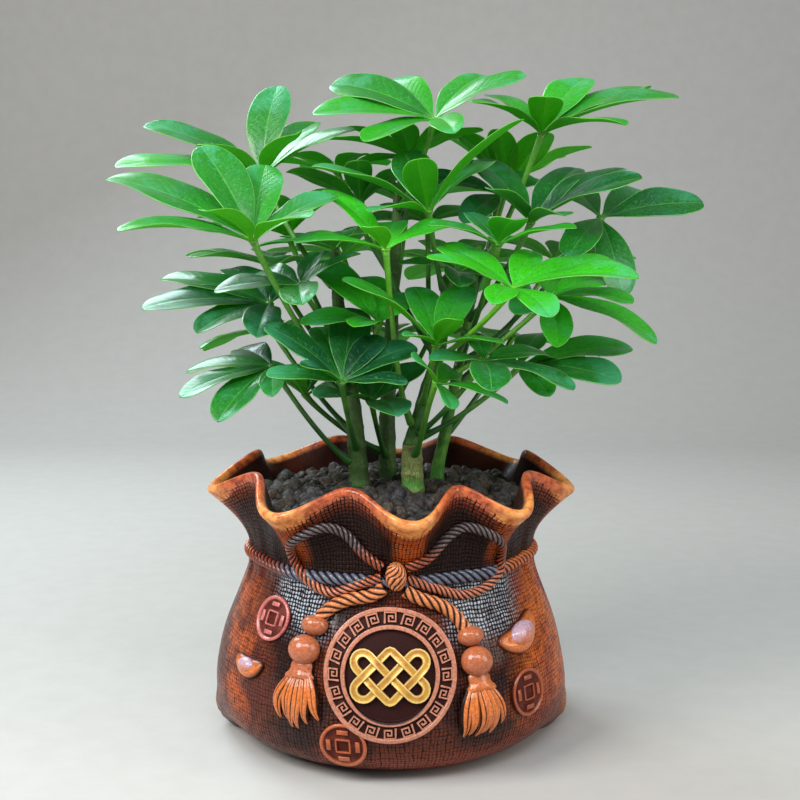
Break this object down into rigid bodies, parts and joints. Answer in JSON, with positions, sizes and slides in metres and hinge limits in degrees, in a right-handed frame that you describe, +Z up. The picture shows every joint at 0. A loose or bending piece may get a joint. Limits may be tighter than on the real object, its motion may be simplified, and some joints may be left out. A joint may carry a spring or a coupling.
{
  "type": "potted schefflera",
  "caption": "Dwarf umbrella plant with palmate leaves on slim stems, in a glazed ceramic pot shaped like a tied money bag.",
  "frame": {"origin": "on the pot's axis, at the flat underside of its base", "axes": "+Z up along the pot's axis, -Y towards the front of the pot with the medallion, +X to the viewer's right"},
  "size_m": [0.2763, 0.2267, 0.3121],
  "materials": {
    "pot": "glossy orange-brown glaze with a dark patina in its recesses",
    "soil": "dark granular potting mix, slightly damp",
    "stem": "grey-green young bark, matt",
    "leaf": "glossy green living leaf"
  },
  "bodies": {
    "root": {"pot": "pot", "soil": "soil", "stem_front": "stem", "stem_left": "stem", "stem_back": "stem", "stem_right": "stem", "leaf_01": "leaf", "leaf_02": "leaf", "leaf_03": "leaf", "leaf_04": "leaf", "leaf_05": "leaf", "leaf_06": "leaf", "leaf_07": "leaf", "leaf_08": "leaf", "leaf_09": "leaf", "leaf_10": "leaf", "leaf_11": "leaf", "leaf_12": "leaf", "leaf_13": "leaf", "leaf_14": "leaf", "leaf_15": "leaf", "leaf_16": "leaf", "leaf_17": "leaf", "leaf_18": "leaf", "leaf_19": "leaf", "leaf_20": "leaf", "leaf_21": "leaf", "leaf_22": "leaf", "leaf_23": "leaf", "leaf_24": "leaf", "leaf_25": "leaf", "leaf_26": "leaf", "leaf_27": "leaf", "leaf_28": "leaf", "leaf_29": "leaf", "leaf_30": "leaf", "leaf_31": "leaf", "leaf_32": "leaf", "leaf_33": "leaf", "leaf_34": "leaf", "leaf_35": "leaf", "leaf_36": "leaf", "leaf_37": "leaf", "leaf_38": "leaf", "leaf_39": "leaf"}
  },
  "joints": []
}
